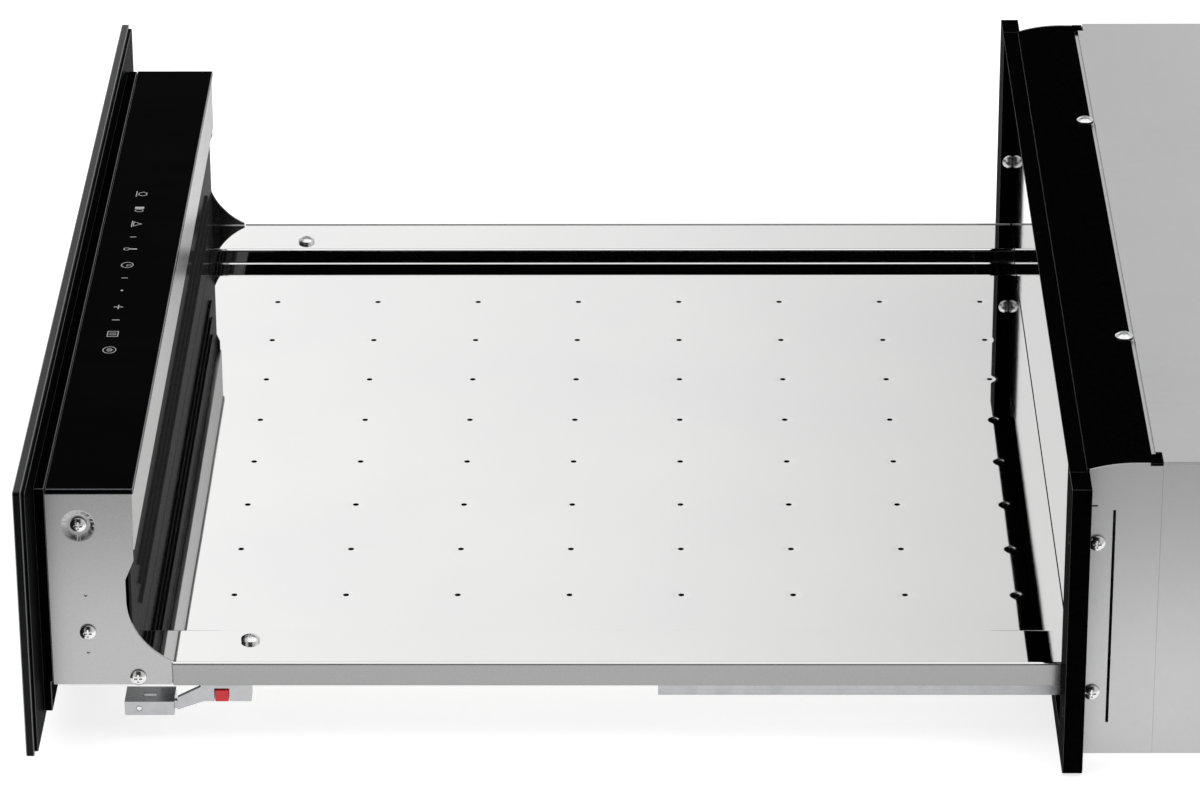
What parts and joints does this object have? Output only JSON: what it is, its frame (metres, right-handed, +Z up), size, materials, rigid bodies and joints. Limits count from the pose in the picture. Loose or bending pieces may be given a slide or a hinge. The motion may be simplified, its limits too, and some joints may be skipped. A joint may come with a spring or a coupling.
{
  "type": "built in warming drawer",
  "caption": "Built in warming drawer with black glass front, touch control housing, perforated steel floor and telescopic runners in a steel cabinet, stored open.",
  "frame": {"origin": "under the middle of the whole open drawer, on the surface that the cabinet stands on", "axes": "+X to the right seen from the front, +Y from the glass front to the back of the cabinet, +Z up"},
  "size_m": [0.596, 1.0374, 0.1593],
  "materials": {
    "black_glass": "gloss",
    "black_enamel": "gloss",
    "black_steel": "satin",
    "polished_stainless": "mirror polished",
    "brushed_stainless": "satin",
    "galvanised_steel": "spangled",
    "zinc_steel": "bright zinc",
    "aluminised_steel": "dull",
    "bearing_steel": "polished",
    "dark_plastic": "moulded",
    "red_plastic": "gloss",
    "circuit_board": "lacquered",
    "mineral_felt": "felt",
    "element_sheath": "oxidised",
    "ceramic": "glazed",
    "motor_iron": "lacquered",
    "polyamide": "moulded"
  },
  "bodies": {
    "cabinet": {"front_frame": "black_enamel", "top_trim": "black_enamel", "front_bracket_left": "galvanised_steel", "front_bracket_right": "galvanised_steel", "casing_left": "galvanised_steel", "casing_right": "galvanised_steel", "casing_top": "galvanised_steel", "casing_base": "galvanised_steel", "casing_back": "galvanised_steel", "cabinet_rail_left": "zinc_steel", "cabinet_rail_right": "zinc_steel", "rear_baffle": "aluminised_steel", "motor_bracket": "galvanised_steel", "fan_motor": "motor_iron", "terminal_block": "polyamide", "cord_gland": "dark_plastic", "power_board": "circuit_board", "safety_thermostat": "ceramic", "cabinet_screws": "zinc_steel"},
    "drawer": {"front_glass": "black_glass", "glass_backing": "black_steel", "front_spacer": "black_enamel", "control_glass": "black_glass", "control_carrier": "dark_plastic", "control_board": "circuit_board", "housing_strip": "brushed_stainless", "louvre_panel": "black_enamel", "housing_base": "black_steel", "side_plate_left": "galvanised_steel", "side_plate_right": "galvanised_steel", "floor_plate": "polished_stainless", "base_pan": "aluminised_steel", "insulation_pad": "mineral_felt", "heating_element": "element_sheath", "floor_thermostat": "ceramic", "side_rail_left": "galvanised_steel", "side_rail_right": "galvanised_steel", "rear_wall": "polished_stainless", "drawer_slide_left": "zinc_steel", "drawer_slide_right": "zinc_steel", "locking_clip_left": "zinc_steel", "locking_clip_right": "zinc_steel", "drawer_screws": "zinc_steel"},
    "release_left": {"release_button_left": "red_plastic"},
    "middle_left": {"middle_rail_left": "zinc_steel"},
    "upper_balls_left": {"upper_balls_left": "bearing_steel"},
    "lower_balls_left": {"lower_balls_left": "bearing_steel"},
    "release_right": {"release_button_right": "red_plastic"},
    "middle_right": {"middle_rail_right": "zinc_steel"},
    "upper_balls_right": {"upper_balls_right": "bearing_steel"},
    "lower_balls_right": {"lower_balls_right": "bearing_steel"},
    "fan": {"fan_wheel": "aluminised_steel", "motor_shaft": "bearing_steel"}
  },
  "joints": [
    {"name": "drawer_travel", "type": "slide", "parent": "cabinet", "child": "drawer", "axis": [0, 1, 0], "range_m": [0, 0.484]},
    {"name": "middle_travel_left", "type": "slide", "parent": "cabinet", "child": "middle_left", "axis": [0, 1, 0], "range_m": [0, 0.242]},
    {"name": "upper_balls_travel_left", "type": "slide", "parent": "cabinet", "child": "upper_balls_left", "axis": [0, 1, 0], "range_m": [0, 0.363]},
    {"name": "lower_balls_travel_left", "type": "slide", "parent": "cabinet", "child": "lower_balls_left", "axis": [0, 1, 0], "range_m": [0, 0.121]},
    {"name": "release_press_left", "type": "slide", "parent": "drawer", "child": "release_left", "axis": [1, 0, 0], "range_m": [0, 0.003], "stiffness_N_per_m": 400},
    {"name": "middle_travel_right", "type": "slide", "parent": "cabinet", "child": "middle_right", "axis": [0, 1, 0], "range_m": [0, 0.242]},
    {"name": "upper_balls_travel_right", "type": "slide", "parent": "cabinet", "child": "upper_balls_right", "axis": [0, 1, 0], "range_m": [0, 0.363]},
    {"name": "lower_balls_travel_right", "type": "slide", "parent": "cabinet", "child": "lower_balls_right", "axis": [0, 1, 0], "range_m": [0, 0.121]},
    {"name": "release_press_right", "type": "slide", "parent": "drawer", "child": "release_right", "axis": [-1, 0, 0], "range_m": [0, 0.003], "stiffness_N_per_m": 400},
    {"name": "fan_spin", "type": "hinge", "parent": "cabinet", "child": "fan", "pos_m": [0, 0.4858, 0.08035], "axis": [0, 1, 0], "continuous": true}
  ],
  "couplings": [
    {"joint": "middle_travel_left", "follows": "drawer_travel", "ratio": 0.5},
    {"joint": "upper_balls_travel_left", "follows": "drawer_travel", "ratio": 0.75},
    {"joint": "lower_balls_travel_left", "follows": "drawer_travel", "ratio": 0.25},
    {"joint": "middle_travel_right", "follows": "drawer_travel", "ratio": 0.5},
    {"joint": "upper_balls_travel_right", "follows": "drawer_travel", "ratio": 0.75},
    {"joint": "lower_balls_travel_right", "follows": "drawer_travel", "ratio": 0.25}
  ]
}
